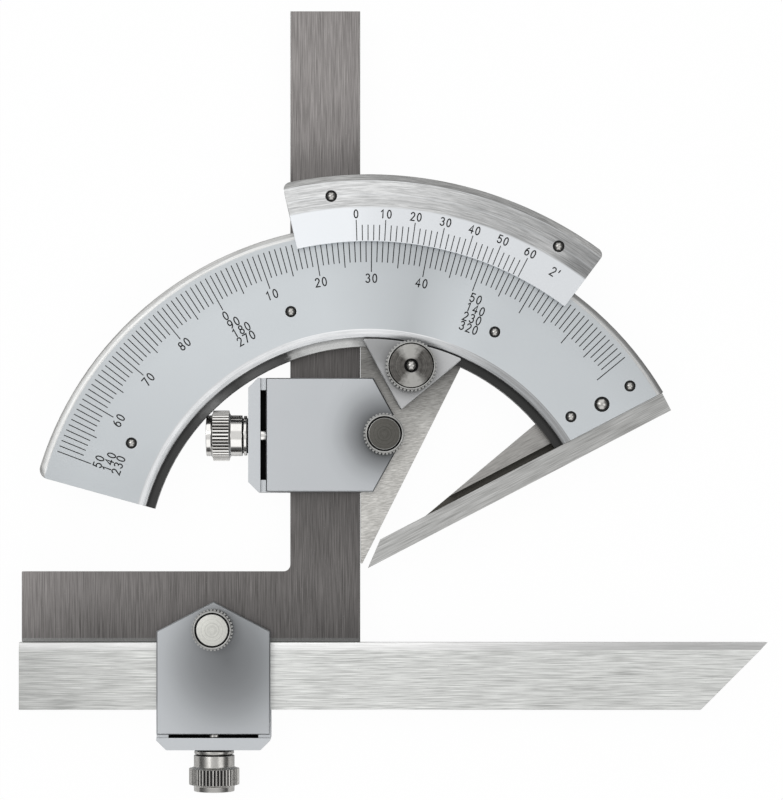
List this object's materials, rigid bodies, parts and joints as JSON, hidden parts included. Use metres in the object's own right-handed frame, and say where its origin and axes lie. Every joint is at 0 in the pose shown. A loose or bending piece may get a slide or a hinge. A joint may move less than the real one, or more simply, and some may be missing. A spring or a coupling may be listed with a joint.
{
  "type": "bevel protractor",
  "caption": "Universal vernier bevel protractor: arc dial with fixed base blade, sector plate with vernier and brake, and a square and straight rule held by screw clamps.",
  "frame": {"origin": "the dial's axis, where the base blade's working edge ends, at the level of the clamps' backs on which the instrument lies", "axes": "+Z out of the graduated face, +Y up along the square's blade, +X along the straight rule towards its bevelled end"},
  "size_m": [0.15, 0.1562, 0.0159],
  "materials": {
    "satin_chrome": "fine satin chrome",
    "warm_brushed_steel": "brushed along the edge",
    "polished_steel": "polished",
    "turned_steel": "turned and straight knurled",
    "plain_steel": "plain machined",
    "dark_brushed_steel": "dark ground steel, grain along the blade",
    "light_brushed_steel": "lightly brushed along the rule"
  },
  "bodies": {
    "sector": {"sector_plate": "warm_brushed_steel", "sector_guide": "warm_brushed_steel", "vernier_spacer": "warm_brushed_steel", "vernier_plate": "satin_chrome", "vernier_pins": "polished_steel", "brake_plate": "satin_chrome", "brake_stud": "polished_steel", "brake_washer": "plain_steel", "clamp_a_body": "satin_chrome", "clamp_a_cover": "satin_chrome", "pressure_pad_a": "plain_steel"},
    "dial": {"dial_plate": "satin_chrome", "dial_ring": "polished_steel", "dial_pins": "polished_steel", "base_blade": "warm_brushed_steel", "base_pins": "polished_steel", "base_rivet": "polished_steel"},
    "nut": {"brake_nut": "turned_steel"},
    "screw_a": {"thumb_screw_a": "polished_steel"},
    "knob_a": {"lock_knob_a": "turned_steel"},
    "square": {"square": "dark_brushed_steel"},
    "clamp_b": {"clamp_b_body": "satin_chrome", "clamp_b_cover": "satin_chrome", "pressure_pad_b": "plain_steel"},
    "rule": {"rule": "light_brushed_steel"},
    "screw_b": {"thumb_screw_b": "polished_steel"},
    "knob_b": {"lock_knob_b": "turned_steel"}
  },
  "joints": [
    {"name": "dial_turn", "type": "hinge", "parent": "sector", "child": "dial", "pos_m": [0, 0, 0.009], "axis": [0, 0, 1], "range_deg": [-27.5, 22.5]},
    {"name": "brake_nut_turn", "type": "hinge", "parent": "sector", "child": "nut", "pos_m": [0.00839, 0.03982, 0.013], "axis": [0, 0, 1], "range_deg": [0, 180]},
    {"name": "screw_a_turn", "type": "hinge", "parent": "sector", "child": "screw_a", "pos_m": [-0.027, 0.0265, 0.00525], "axis": [-1, 0, 0], "range_deg": [0, 180]},
    {"name": "knob_a_turn", "type": "hinge", "parent": "sector", "child": "knob_a", "pos_m": [0.00315, 0.0265, 0.009], "axis": [0, 0, 1], "range_deg": [0, 180]},
    {"name": "square_slide", "type": "slide", "parent": "sector", "child": "square", "axis": [0, 1, 0], "range_m": [-0.04, 0.002]},
    {"name": "clamp_b_slide", "type": "slide", "parent": "square", "child": "clamp_b", "axis": [1, 0, 0], "range_m": [-0.011, 0.016]},
    {"name": "rule_slide", "type": "slide", "parent": "clamp_b", "child": "rule", "axis": [1, 0, 0], "range_m": [-0.05, 0.02]},
    {"name": "screw_b_turn", "type": "hinge", "parent": "clamp_b", "child": "screw_b", "pos_m": [-0.03085, -0.04, 0.00525], "axis": [0, -1, 0], "range_deg": [0, 180]},
    {"name": "knob_b_turn", "type": "hinge", "parent": "clamp_b", "child": "knob_b", "pos_m": [-0.03085, -0.01224, 0.009], "axis": [0, 0, 1], "range_deg": [0, 180]}
  ]
}
